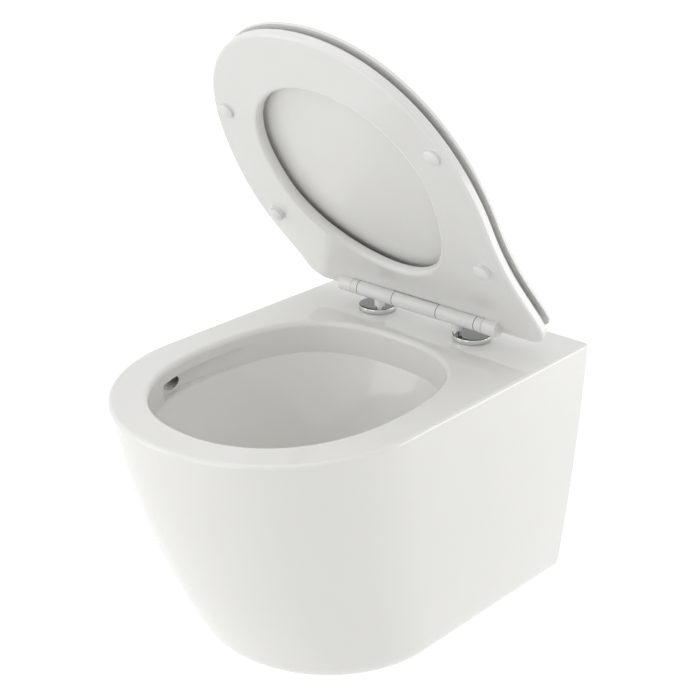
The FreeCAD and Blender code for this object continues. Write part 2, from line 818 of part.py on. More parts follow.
def add_hinge_foot(name, side):
    """The chrome foot, its gasket and pin, and the bolt set that clamps it to the china."""
    s = f"{side}"
    disc_x = f"{s} * disc_from_centre"
    disc_y = "0 - disc_from_wall"
    bolt_x = f"{s} * bolt_spacing / 2"
    pin_x = f"{s} * pin_from_centre"
    hinge_y = "0 - hinge_from_wall"
    bolt_offset = f"{s} * ( bolt_spacing / 2 - disc_from_centre )"
    under_deck = "rim_above_fixings - deck_thickness"

    gasket = plate_body(
        f"disc_gasket_{name}", "gasket_radius", "gasket_thickness",
        [("bolt_hole_radius", bolt_offset, "0")],
    )
    place(gasket, disc_x, disc_y, "rim_above_fixings")

    disc_low = "rim_above_fixings + gasket_thickness"
    disc_top = f"{disc_low} + disc_thickness"
    plate = rod(f"disc_plate_{name}", "disc_radius", "disc_thickness", disc_x, disc_y, disc_low)
    thread = rod(f"disc_thread_{name}", "bolt_radius + fit_gap / 2", "bolt_grip + gasket_thickness",
                 bolt_x, disc_y, "rim_above_fixings")
    seat = rod(f"disc_pin_seat_{name}", "pin_radius + fit_gap / 2", "2 * disc_thickness",
               pin_x, hinge_y, f"{disc_top} - pin_seat_depth")
    less(f"hinge_disc_{name}", plate, thread, seat)

    rod(f"hinge_pin_{name}", "pin_radius",
        "pin_above_rim - gasket_thickness - disc_thickness + pin_seat_depth",
        pin_x, hinge_y, f"{disc_top} - pin_seat_depth")

    rod(f"seat_bolt_{name}", "bolt_radius", "bolt_length", bolt_x, disc_y,
        f"{disc_low} + bolt_grip - fit_gap", "-z")

    flange = rod(f"bush_flange_{name}", "bush_flange_radius", "bush_flange_height", bolt_x, disc_y,
                 under_deck, "-z")
    sleeve = rod(f"bush_sleeve_{name}", "bolt_hole_radius - fit_gap", "bush_depth + bush_flange_height",
                 bolt_x, disc_y, f"{under_deck} - bush_flange_height")
    bush = joined(f"bush_solid_{name}", flange, sleeve)
    bore = rod(f"bush_bore_{name}", "bolt_radius + fit_gap", "bolt_length", bolt_x, disc_y,
               f"{under_deck} - bush_flange_height - fit_gap")
    less(f"bolt_bush_{name}", bush, bore)

    washer = plate_body(
        f"bolt_washer_{name}", "washer_radius", "washer_thickness", [("bolt_radius + fit_gap", "0", "0")]
    )
    washer_low = f"{under_deck} - bush_flange_height - washer_thickness"
    place(washer, bolt_x, disc_y, washer_low)

    hexagon = DOC.addObject("Part::Prism", f"nut_body_{name}")
    hexagon.Polygon = 6
    hexagon.setExpression("Circumradius", expr("nut_radius"))
    hexagon.setExpression("Height", expr("nut_height"))
    place(hexagon, bolt_x, disc_y, f"{washer_low} - nut_height")
    thread = rod(f"nut_bore_{name}", "bolt_radius + fit_gap / 2", "bolt_length", bolt_x, disc_y,
                 f"{washer_low} - nut_height - fit_gap")
    less(f"bolt_nut_{name}", hexagon, thread)


def add_barrel(name, side, damper_outside):
    """One barrel of the hinge bar, its damper and the seat's and lid's shafts that turn in it."""
    s = f"{side}"
    out = "x" if side > 0 else "-x"
    inward = "-x" if side > 0 else "x"
    hinge_y = "0 - hinge_from_wall"
    hinge_z = "rim_above_fixings + hinge_above_rim"

    tube = rod(f"barrel_tube_{name}", "bar_radius", "barrel_end - barrel_start",
               f"{s} * barrel_start", hinge_y, hinge_z, out)
    neck = rod(f"barrel_neck_{name}", "neck_radius", "hinge_above_rim - neck_above_rim",
               f"{s} * pin_from_centre", hinge_y, "rim_above_fixings + neck_above_rim")
    socket = rod(f"barrel_socket_{name}", "pin_radius + fit_gap / 2",
                 "pin_above_rim - neck_above_rim + 2 * fit_gap",
                 f"{s} * pin_from_centre", hinge_y, "rim_above_fixings + neck_above_rim - fit_gap")
    if damper_outside:
        mouth, plain, into, away = "barrel_end", "barrel_start", inward, out
    else:
        mouth, plain, into, away = "barrel_start", "barrel_end", out, inward
    room = rod(f"barrel_room_{name}", "damper_radius + fit_gap", "damper_length + fit_gap",
               f"{s} * {mouth}", hinge_y, hinge_z, into)
    bush = rod(f"barrel_bush_{name}", "shaft_radius + shaft_running_gap", "plain_bore_depth",
               f"{s} * {plain}", hinge_y, hinge_z, away)
    less(f"hinge_barrel_{name}", joined(f"barrel_solid_{name}", tube, neck), socket, room, bush)

    case = rod(f"damper_case_{name}", "damper_radius", "damper_length",
               f"{s} * {mouth}", hinge_y, hinge_z, into)
    rotor_hole = rod(f"damper_bore_{name}", "shaft_radius + shaft_running_gap", "rotor_depth",
                     f"{s} * {mouth}", hinge_y, hinge_z, into)
    less(f"damper_{name}", case, rotor_hole)


def add_shafts(name, side, damper_outside):
    """The seat's and the lid's shafts of one side, in the shut pose about the hinge axis."""
    seat_reach = size("rotor_depth") if damper_outside else size("plain_bore_depth")
    lid_reach = size("plain_bore_depth") if damper_outside else size("rotor_depth")
    slack = 5 * size("fit_gap")
    grip = size("shaft_grip") - slack
    for owner, face, grip_from, reach in (
        ("seat", "barrel_end", "boss_start", seat_reach),
        ("lid", "barrel_start", "knuckle_half_length", lid_reach),
    ):
        direction = 1 if owner == "seat" else -1
        deep = side * (size(face) - direction * (reach - slack))
        held = side * (size(grip_from) + direction * grip)
        start = min(deep, held)
        shaft = bar(size("shaft_radius"), X_AXIS * start, X_AXIS, abs(held - deep))
        sculpted(f"{owner}_shaft_{name}", shaft, RAISED)


def add_collar(name, side):
    """The end ring of the hinge bar, which turns with the seat."""
    start = X_AXIS * (side * size("collar_start"))
    ring = bar(size("bar_radius"), start, X_AXIS * side, size("boss_start") - size("collar_start"))
    hole = bar(size("shaft_radius") + size("shaft_press_gap"), start, X_AXIS * side, size("boss_start"))
    sculpted(f"seat_collar_{name}", ring.cut(hole), RAISED)


def add_buffers():
    """The four buffers under the seat and the two under the lid."""
    rest = -size("hinge_above_rim") + size("buffer_rest_gap")
    crown_radius = (size("buffer_radius") ** 2 + size("buffer_crown") ** 2) / (2 * size("buffer_crown"))
    for label, x, reach, height in buffer_places():
        disc = bar(size("buffer_radius"), Vector(x, -reach, rest), Z_AXIS, height - rest)
        ball = Part.makeSphere(crown_radius, Vector(x, -reach, rest + crown_radius))
        tall = bar(size("buffer_radius"), Vector(x, -reach, rest + crown_radius), Z_AXIS, height - rest)
        sculpted(label, disc.common(ball.fuse(tall)), RAISED)
    for name, side in SIDES:
        start = Vector(side * size("lid_buffer_side"), -size("lid_buffer_reach"), LID_UNDER)
        disc = bar(size("lid_buffer_radius"), start, -Z_AXIS, size("lid_gap") - size("buffer_rest_gap"))
        sculpted(f"lid_buffer_{name}", disc, RAISED)


def add_wall_sleeve(name, side):
    """The sleeve that lines one wall fixing hole, with its flange on the inner end."""
    x = f"{side} * fixing_spacing / 2"
    tube = rod(f"sleeve_tube_{name}", "fixing_hole_radius - fit_gap", "fixing_boss_depth", x, "0", "0", "-y")
    flange = rod(f"sleeve_flange_{name}", "sleeve_flange_radius", "sleeve_flange_height",
                 x, "0 - fixing_boss_depth", "0", "-y")
    bore = rod(f"sleeve_bore_{name}", "stud_hole_radius", "3 * fixing_boss_depth",
               x, "fixing_boss_depth", "0", "-y")
    less(f"wall_sleeve_{name}", joined(f"sleeve_solid_{name}", tube, flange), bore)


# ---------------------------------------------------------------- the assembly

CASTINGS = make_china()
for casting, form in CASTINGS.items():
    sculpted(casting, form)
sculpted("seat", make_seat(), RAISED)
sculpted("lid", make_lid(), RAISED)
sculpted("lid_knuckle", make_lid_knuckle(), RAISED)
for side_name, side_sign in SIDES:
    damper_is_outside = side_name == "left"
    add_wall_sleeve(side_name, side_sign)
    add_hinge_foot(side_name, side_sign)
    add_barrel(side_name, side_sign, damper_is_outside)
    add_shafts(side_name, side_sign, damper_is_outside)
    add_collar(side_name, side_sign)
add_buffers()
DOC.recompute()

NODES = [*CASTINGS, "seat", "lid", "lid_knuckle"]
for side_name, _ in SIDES:
    NODES += [
        f"{stem}_{side_name}"
        for stem in (
            "wall_sleeve", "disc_gasket", "hinge_disc", "hinge_pin", "seat_bolt", "bolt_bush",
            "bolt_washer", "bolt_nut", "hinge_barrel", "damper", "seat_shaft", "lid_shaft",
            "seat_collar", "seat_buffer_front", "seat_buffer_rear", "lid_buffer",
        )
    ]

for item in DOC.Objects:
    if "Invalid" in item.State or "Error" in item.State:
        raise RuntimeError(f"{item.Name} failed: {item.State}")

os.makedirs("parts", exist_ok=True)
for node in NODES:
    found = DOC.getObjectsByLabel(node)
    if len(found) != 1:
        raise RuntimeError(f"{node}: {len(found)} objects have this label")
    solid = found[0].Shape
    if solid.isNull() or not solid.isValid() or not solid.Solids:
        raise RuntimeError(f"{node} has no valid solid")
    solid.exportStep(f"parts/{node}.step")
    print(f"{node}: {solid.Volume / 1000:.1f} cm3, {len(solid.Solids)} solid")
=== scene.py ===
import logging
import math
from collections.abc import Sequence
from dataclasses import dataclass, field
from enum import Enum

import bpy
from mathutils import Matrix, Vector


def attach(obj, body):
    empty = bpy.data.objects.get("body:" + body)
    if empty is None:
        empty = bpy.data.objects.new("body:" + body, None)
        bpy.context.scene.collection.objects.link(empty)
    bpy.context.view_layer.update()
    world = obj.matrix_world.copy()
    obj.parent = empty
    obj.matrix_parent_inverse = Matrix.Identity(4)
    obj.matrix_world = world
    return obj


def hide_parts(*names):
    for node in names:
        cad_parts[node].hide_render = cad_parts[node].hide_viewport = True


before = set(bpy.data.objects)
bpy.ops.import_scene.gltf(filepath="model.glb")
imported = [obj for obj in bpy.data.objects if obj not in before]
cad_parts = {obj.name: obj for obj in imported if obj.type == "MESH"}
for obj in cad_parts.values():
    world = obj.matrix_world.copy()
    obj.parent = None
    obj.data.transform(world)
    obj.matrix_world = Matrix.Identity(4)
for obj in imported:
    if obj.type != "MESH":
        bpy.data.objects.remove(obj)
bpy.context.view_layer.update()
LOG = logging.getLogger("toilet")

Colour = tuple[float, float, float]
Ring = tuple[float, float]
MM = 0.001
SAME_POINT = 0.00001
FLAT_ANGLE = math.radians(0.5)
SHARP_ANGLE = math.radians(40.0)
SMOOTH_ANGLE = math.radians(32.0)


class Side(Enum):
    """Left and right as seen from in front of the bowl."""

    LEFT = "left"
    RIGHT = "right"

    @property
    def sign(self) -> int:
        """The sign of X on this side."""
        return -1 if self is Side.LEFT else 1


class Body(Enum):
    """The bodies that move apart from each other."""

    PAN = "pan"
    SEAT = "seat"
    LID = "lid"


class Bench:
    """The modelling steps that several pieces share."""

    @staticmethod
    def only(thing: bpy.types.Object) -> None:
        """Selects one object and makes it active.

        Args:
            thing: the object.
        """
        bpy.ops.object.select_all(action="DESELECT")
        thing.select_set(True)
        bpy.context.view_layer.objects.active = thing

    @staticmethod
    def rounded(radius: float, low: float, high: float, edge: float, steps: int = 5) -> list[Ring]:
        """The rings of a bar with both ends rounded over.

        Args:
            radius: the bar's radius.
            low: the height of its lower end.
            high: the height of its upper end.
            edge: the radius of the round.
            steps: how many rings each round has.

        Returns:
            Pairs of radius and height, upwards.
        """
        turns = [math.pi / 2 * step / steps for step in range(steps + 1)]
        inner = radius - edge
        lower = [(inner + edge * math.sin(turn), low + edge - edge * math.cos(turn)) for turn in turns]
        upper = [(inner + edge * math.cos(turn), high - edge + edge * math.sin(turn)) for turn in turns]
        return lower + upper

    @staticmethod
    def turned(name: str, rings: Sequence[Ring], sides: int = 96) -> bpy.types.Object:
        """Turns a solid form, ring by ring up from a disc.

        Args:
            name: the piece's name.
            rings: pairs of radius and height, upwards.
            sides: how many corners each ring has.

        Returns:
            The new piece, upright around the Z axis.
        """
        (radius, height), *rest = rings
        bpy.ops.object.select_all(action="DESELECT")
        bpy.ops.mesh.primitive_circle_add(
            vertices=sides, radius=radius, fill_type="NGON", location=(0.0, 0.0, height)
        )
        thing = bpy.context.active_object
        thing.name = name
        bpy.ops.object.mode_set(mode="EDIT")
        bpy.ops.mesh.select_all(action="SELECT")
        for next_radius, next_height in rest:
            rise = (0.0, 0.0, next_height - height)
            bpy.ops.mesh.extrude_region_move(TRANSFORM_OT_translate={"value": rise})
            scale = next_radius / radius
            bpy.ops.transform.resize(value=(scale, scale, 1.0), center_override=(0.0, 0.0, next_height))
            radius, height = next_radius, next_height
        bpy.ops.mesh.select_all(action="SELECT")
        bpy.ops.mesh.normals_make_consistent(inside=False)
        bpy.ops.object.mode_set(mode="OBJECT")
        return thing

    @staticmethod
    def move(thing: bpy.types.Object, to: Colour) -> None:
        """Moves a piece and applies the move, so that its place is in its mesh.

        Args:
            thing: the piece.
            to: how far it moves along X, Y and Z, in metres.
        """
        Bench.only(thing)
        thing.location = Vector(thing.location) + Vector(to)
        bpy.ops.object.transform_apply(location=True, rotation=True, scale=True)

    @staticmethod
    def copied(thing: bpy.types.Object, name: str, shift: Colour) -> bpy.types.Object:
        """A copy of a piece with a mesh of its own.

        Args:
            thing: the piece to copy.
            name: the copy's name.
            shift: how far the copy lies from the first piece.

        Returns:
            The copy.
        """
        twin = thing.copy()
        twin.data = thing.data.copy()
        twin.name = name
        bpy.context.scene.collection.objects.link(twin)
        Bench.move(twin, shift)
        return twin

    @staticmethod
    def rounded_copy(node: str, edge: float, segments: int = 3) -> bpy.types.Object:
        """A copy of a CAD node whose sharp edges are rounded.

        Args:
            node: the CAD node's name.
            edge: the width of the round.
            segments: how many strips make the round.

        Returns:
            The new piece.
        """
        piece = bpy.data.objects.new(f"{node}_rounded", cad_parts[node].data.copy())
        bpy.context.scene.collection.objects.link(piece)
        Bench.only(piece)
        bpy.ops.object.mode_set(mode="EDIT")
        bpy.ops.mesh.select_all(action="SELECT")
        bpy.ops.mesh.remove_doubles(threshold=SAME_POINT)
        bpy.ops.mesh.dissolve_limited(angle_limit=FLAT_ANGLE)
        bpy.ops.object.mode_set(mode="OBJECT")
        modifier = piece.modifiers.new("edge", "BEVEL")
        modifier.width = edge
        modifier.segments = segments
        modifier.limit_method = "ANGLE"
        modifier.angle_limit = SHARP_ANGLE
        bpy.ops.object.modifier_apply(modifier=modifier.name)
        return piece

    @staticmethod
    def hand_over(piece: bpy.types.Object, body: Body, finish: bpy.types.Material, node: str) -> None:
        """Smooths a piece, gives it its finish and puts it in the place of a CAD node.

        Args:
            piece: the finished piece.
            body: the body that it moves with.
            finish: its material.
            node: the CAD node that it stands for.
        """
        Bench.only(piece)
        bpy.ops.object.shade_smooth_by_angle(angle=SMOOTH_ANGLE)
        piece.data.materials.clear()
        piece.data.materials.append(finish)
        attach(piece, body.value)
        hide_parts(node)


class ShaderBuilder:
    """Adds nodes to one material around its Principled shader."""

    def __init__(self, name: str) -> None:
        """Starts a material.

        Args:
            name: the material's name.
        """
        self.open(bpy.data.materials.new(name))

    @classmethod
    def of(cls, material: bpy.types.Material) -> "ShaderBuilder":
        """A builder that goes on with a material made before.

        Args:
            material: the material to go on with.

        Returns:
            The builder.
        """
        builder = cls.__new__(cls)
        builder.open(material)
        return builder

    def open(self, material: bpy.types.Material) -> None:
        """Takes up a material and finds its shader.

        Args:
            material: the material.
        """
        self.material = material
        self.material.use_nodes = True
        self.tree = self.material.node_tree
        self.shader = next(node for node in self.tree.nodes if node.type == "BSDF_PRINCIPLED")
        self.coords = self.tree.nodes.new("ShaderNodeTexCoord")

    def set(self, socket: str, value: float | Colour) -> None:
        """Sets a socket of the shader to one value all over.

        Args:
            socket: the socket's name.
            value: a number, or a colour in linear light.
        """
        self.shader.inputs[socket].default_value = (*value, 1.0) if isinstance(value, tuple) else value

    def link(self, output: bpy.types.NodeSocket, target: bpy.types.NodeSocket) -> None:
        """Joins two sockets."""
        self.tree.links.new(output, target)

    def place(self, stretch: Colour = (1.0, 1.0, 1.0)) -> bpy.types.NodeSocket:
        """Object coordinates, stretched along each axis.

        Args:
            stretch: the factor for X, Y and Z.

        Returns:
            The socket that holds the coordinates.
        """
        mapping = self.tree.nodes.new("ShaderNodeMapping")
        mapping.inputs["Scale"].default_value = stretch
        self.link(self.coords.outputs["Object"], mapping.inputs["Vector"])
        return mapping.outputs["Vector"]

    def noise(
        self, per_metre: float, detail: float = 2.0, stretch: Colour = (1.0, 1.0, 1.0)
    ) -> bpy.types.NodeSocket:
        """A soft random pattern.

        Args:
            per_metre: how many spots lie along a metre.
            detail: how many finer layers it has.
            stretch: the factor for X, Y and Z.

        Returns:
            The pattern's value, from 0 to 1.
        """
        node = self.tree.nodes.new("ShaderNodeTexNoise")
        node.inputs["Scale"].default_value = per_metre
        node.inputs["Detail"].default_value = detail
        self.link(self.place(stretch), node.inputs["Vector"])
        return node.outputs["Fac"]

    def between(self, value: bpy.types.NodeSocket, low: float, high: float) -> bpy.types.NodeSocket:
        """Maps a pattern's middle range to two numbers.

        Args:
            value: the pattern.
            low: the result where the pattern is low.
            high: the result where the pattern is high.

        Returns:
            The mapped value.
        """
        node = self.tree.nodes.new("ShaderNodeMapRange")
        node.inputs["From Min"].default_value = 0.3
        node.inputs["From Max"].default_value = 0.7
        node.inputs["To Min"].default_value = low
        node.inputs["To Max"].default_value = high
        self.link(value, node.inputs["Value"])
        return node.outputs["Result"]

    def tint(self, value: bpy.types.NodeSocket, first: Colour, second: Colour) -> None:
        """Colours the shader between two colours.

        Args:
            value: the pattern that chooses between them.
            first: the colour where the pattern is low.
            second: the colour where the pattern is high.
        """
        node = self.tree.nodes.new("ShaderNodeMix")
        node.data_type = "RGBA"
        self.link(self.between(value, 0.0, 1.0), node.inputs["Factor"])
        node.inputs["A"].default_value = (*first, 1.0)
        node.inputs["B"].default_value = (*second, 1.0)
        self.link(node.outputs["Result"], self.shader.inputs["Base Color"])

    def axis(self, letter: str) -> bpy.types.NodeSocket:
        """One object coordinate.

        Args:
            letter: X, Y or Z.

        Returns:
            The socket that holds the coordinate, in metres.
        """
        split = self.tree.nodes.new("ShaderNodeSeparateXYZ")
        self.link(self.coords.outputs["Object"], split.inputs["Vector"])
        return split.outputs[letter]

    def math(self, operation: str, *values: bpy.types.NodeSocket | float) -> bpy.types.NodeSocket:
        """Adds a sum of one kind.

        Args:
            operation: the kind, as the node names it.
            values: sockets or plain numbers.

        Returns:
            The result's socket.
        """
        node = self.tree.nodes.new("ShaderNodeMath")
        node.operation = operation
        for target, value in zip(node.inputs, values):
            if isinstance(value, float):
                target.default_value = value
            else:
                self.link(value, target)
        return node.outputs[0]

    def paint_shade_over(self, shade_mask: bpy.types.NodeSocket, colour: Colour) -> None:
        """Lays a second colour over the shader's colour where a mask is 1; here it paints shade in the hinge
        joints and a dark reflection on the feet's tops.

        Args:
            shade_mask: how much of the second colour shows, from 0 to 1.
            colour: the second colour, in linear light.
        """
        # painted shade and painted reflection are laid on here, as colour
        target = self.shader.inputs["Base Color"]
        below = target.links[0].from_socket
        node = self.tree.nodes.new("ShaderNodeMix")
        node.data_type = "RGBA"
        colours = [socket for socket in node.inputs if socket.type == "RGBA"]
        self.link(shade_mask, node.inputs["Factor"])
        self.link(below, colours[0])
        colours[1].default_value = (*colour, 1.0)
        self.link(next(socket for socket in node.outputs if socket.type == "RGBA"), target)

    def relief(self, *layers: tuple[bpy.types.NodeSocket, float]) -> None:
        """Adds fine relief to the shader's normal.

        Args:
            layers: pairs of a pattern and its height in metres.
        """
        previous = None
        for value, height in layers:
            node = self.tree.nodes.new("ShaderNodeBump")
            node.inputs["Strength"].default_value = 1.0
            node.inputs["Distance"].default_value = height
            self.link(value, node.inputs["Height"])
            if previous is not None:
                self.link(previous, node.inputs["Normal"])
            previous = node.outputs["Normal"]
        self.link(previous, self.shader.inputs["Normal"])


@dataclass(frozen=True)
class GlazedChina:
    """Vitreous china under a thick clear glaze that has pooled a little unevenly."""

    name: str = "glazed_china"
    body: Colour = (0.80, 0.795, 0.775)
    thin_glaze: Colour = (0.815, 0.81, 0.785)
    roughness: tuple[float, float] = (0.045, 0.075)
    wave_per_metre: float = 7.0
    wave_height: float = 0.0011
    peel_per_metre: float = 420.0
    peel_height: float = 0.000006
    cloud_per_metre: float = 5.0
    gloss_per_metre: float = 22.0
    ior: float = 1.52

    def material(self) -> bpy.types.Material:
        """Builds the glazed china's material.

        Returns:
            The material.
        """
        builder = ShaderBuilder(self.name)
        builder.tint(builder.noise(self.cloud_per_metre), self.body, self.thin_glaze)
        gloss = builder.between(builder.noise(self.gloss_per_metre, 3.0), *self.roughness)
        builder.link(gloss, builder.shader.inputs["Roughness"])
        builder.set("IOR", self.ior)
        builder.relief(
            (builder.noise(self.wave_per_metre, 1.0), self.wave_height),
            (builder.noise(self.peel_per_metre, 1.0), self.peel_height),
        )
        return builder.material


@dataclass(frozen=True)
class MouldedPlastic:
    """A pressed or injection moulded plastic, from high gloss to satin."""

    name: str
    body: Colour
    second: Colour
    roughness: tuple[float, float]
    wave_height: float = 0.0
    grain_per_metre: float = 900.0
    grain_height: float = 0.000004
    ior: float = 1.5
    cloud_per_metre: float = 14.0
    gloss_per_metre: float = 60.0
    wave_per_metre: float = 9.0

    def material(self) -> bpy.types.Material:
        """Builds the plastic's material.

        Returns:
            The material.
        """
        builder = ShaderBuilder(self.name)
        builder.tint(builder.noise(self.cloud_per_metre), self.body, self.second)
        gloss = builder.between(builder.noise(self.gloss_per_metre, 3.0), *self.roughness)
        builder.link(gloss, builder.shader.inputs["Roughness"])
        builder.set("IOR", self.ior)
        builder.relief(
            (builder.noise(self.wave_per_metre, 1.0), self.wave_height),
            (builder.noise(self.grain_per_metre, 2.0), self.grain_height),
        )
        return builder.material


@dataclass(frozen=True)
class HingePlastic(MouldedPlastic):
    """The hinge bar's plastic, with a painted line of shade at each running joint, wider than the real gap.
    """

    joints: tuple[float, ...] = (34.0 * MM, 90.15 * MM, 101.0 * MM)
    # painted shade: width and colour of the dark band that stands in for the shadow inside each joint's gap
    gap_shade_width: float = 0.9 * MM
    painted_gap_shade_colour: Colour = (0.16, 0.16, 0.155)

    def material(self) -> bpy.types.Material:
        """Builds the plastic and paints a dark line of shade at each joint, on both sides of the middle.

        Returns:
            The material.
        """
        material = super().material()
        builder = ShaderBuilder.of(material)
        across = builder.math("ABSOLUTE", builder.axis("X"))
        # painted shade: a dark band at each joint, in place of the shadow that falls into the gap
        lines = [builder.math("COMPARE", across, joint, self.gap_shade_width / 2) for joint in self.joints]
        shade_mask = lines[0]
        for line in lines[1:]:
            shade_mask = builder.math("MAXIMUM", shade_mask, line)
        builder.paint_shade_over(shade_mask, self.painted_gap_shade_colour)
        return material


@dataclass(frozen=True)
class PlatedMetal:
    """Polished or brushed metal with faint lines from its last pass on the wheel."""

    name: str
    body: Colour
    second: Colour
    roughness: tuple[float, float]
    stretch: Colour = (1.0, 1.0, 12.0)
    line_height: float = 0.000003
    line_per_metre: float = 260.0
    cloud_per_metre: float = 45.0

    def material(self) -> bpy.types.Material:
        """Builds the metal's material.

        Returns:
            The material.
        """
        builder = ShaderBuilder(self.name)
        lines = builder.noise(self.line_per_metre, 3.0, self.stretch)
        builder.tint(builder.noise(self.cloud_per_metre), self.body, self.second)
        builder.link(builder.between(lines, *self.roughness), builder.shader.inputs["Roughness"])
        builder.set("Metallic", 1.0)
        builder.relief((lines, self.line_height))
        return builder.material


@dataclass(frozen=True)
class FootChrome(PlatedMetal):
    """The feet's chrome, bright on the edge, with a painted dark reflection on the flat top."""

    top_from: float = 86.3 * MM
    # painted reflection: the colour that darkens the flat top in place of the dark reflection of the bar and
    # its shade
    painted_reflection_colour: Colour = (0.15, 0.152, 0.155)

    def material(self) -> bpy.types.Material:
        """Builds the chrome and paints a dark reflection, in colour, on what lies above the edge's round.

        Returns:
            The material.
        """
        material = super().material()
        builder = ShaderBuilder.of(material)
        # painted reflection: everything above the edge's round is darkened in colour, standing in for a dark
        # reflection
        builder.paint_shade_over(builder.math("GREATER_THAN", builder.axis("Z"), self.top_from), self.painted_reflection_colour)
        return material


class Finishes:
    """Every finish of the object, made once each."""

    def __init__(self) -> None:
        """Builds all the materials."""
        white = (0.80, 0.80, 0.785)
        warm = (0.79, 0.785, 0.765)
        self.china = GlazedChina().material()
        self.seat = MouldedPlastic(
            "seat_gloss_white", white, warm, (0.15, 0.20), wave_height=0.0003
        ).material()
        self.lid = MouldedPlastic(
            "lid_gloss_white", white, warm, (0.20, 0.26), wave_height=0.0003
        ).material()
        # the hinge plastic carries painted shade lines at its joints
        self.hinge = HingePlastic(
            "hinge_white", (0.78, 0.785, 0.775), (0.76, 0.765, 0.755), (0.14, 0.22), wave_height=0.0001
        ).material()
        self.buffer = MouldedPlastic(
            "buffer_soft_white", (0.80, 0.81, 0.80), (0.77, 0.785, 0.775), (0.30, 0.40),
            grain_per_metre=600.0, grain_height=0.00001,
        ).material()
        self.gasket = MouldedPlastic(
            "gasket_grey", (0.55, 0.55, 0.54), (0.50, 0.50, 0.49), (0.5, 0.65),
            grain_per_metre=500.0, grain_height=0.00002,
        ).material()
        self.bush = MouldedPlastic(
            "bush_black_rubber", (0.022, 0.022, 0.023), (0.03, 0.03, 0.031), (0.5, 0.7),
            grain_per_metre=500.0, grain_height=0.00002,
        ).material()
        self.nut = MouldedPlastic(
            "nut_white_nylon", (0.68, 0.68, 0.65), (0.62, 0.62, 0.59), (0.35, 0.5),
            grain_per_metre=500.0, grain_height=0.00001,
        ).material()
        self.damper = MouldedPlastic(
            "damper_dark_plastic", (0.04, 0.04, 0.045), (0.05, 0.05, 0.055), (0.3, 0.42)
        ).material()
        self.sleeve = MouldedPlastic(
            "sleeve_plastic", (0.55, 0.56, 0.55), (0.50, 0.51, 0.50), (0.35, 0.5),
            grain_per_metre=500.0, grain_height=0.00001,
        ).material()
        self.chrome = PlatedMetal(
            "polished_chrome", (0.78, 0.785, 0.79), (0.72, 0.725, 0.73), (0.07, 0.12)
        ).material()
        # the feet's chrome carries a painted dark reflection on its flat top
        self.foot_chrome = FootChrome(
            "foot_chrome", (0.78, 0.785, 0.79), (0.72, 0.725, 0.73), (0.09, 0.13)
        ).material()
        self.bolt = PlatedMetal(
            "zinc_plated_steel", (0.52, 0.53, 0.54), (0.44, 0.45, 0.46), (0.25, 0.38),
            stretch=(1.0, 1.0, 6.0), line_height=0.000008,
        ).material()
        self.shaft = PlatedMetal(
            "ground_steel", (0.58, 0.585, 0.59), (0.50, 0.505, 0.51), (0.16, 0.26),
            stretch=(12.0, 1.0, 1.0), line_height=0.000004,
        ).material()


@dataclass
class Assembly:
    """Part of the object whose CAD nodes take finishes by the first words of their names."""

    name: str
    finishes: dict[str, bpy.types.Material]
    dressed: list[str] = field(default_factory=list)

    def dress(self) -> None:
        """Gives each CAD node of this assembly its finish."""
        for stem, finish in self.finishes.items():
            for node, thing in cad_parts.items():
                if node == stem or node in {f"{stem}_{side.value}" for side in Side}:
                    for slot in thing.material_slots:
                        slot.material = finish
                    self.dressed.append(node)

    def report(self) -> None:
        """Logs what was dressed."""
        for node in self.dressed:
            LOG.info("%s: %s", self.name, node)


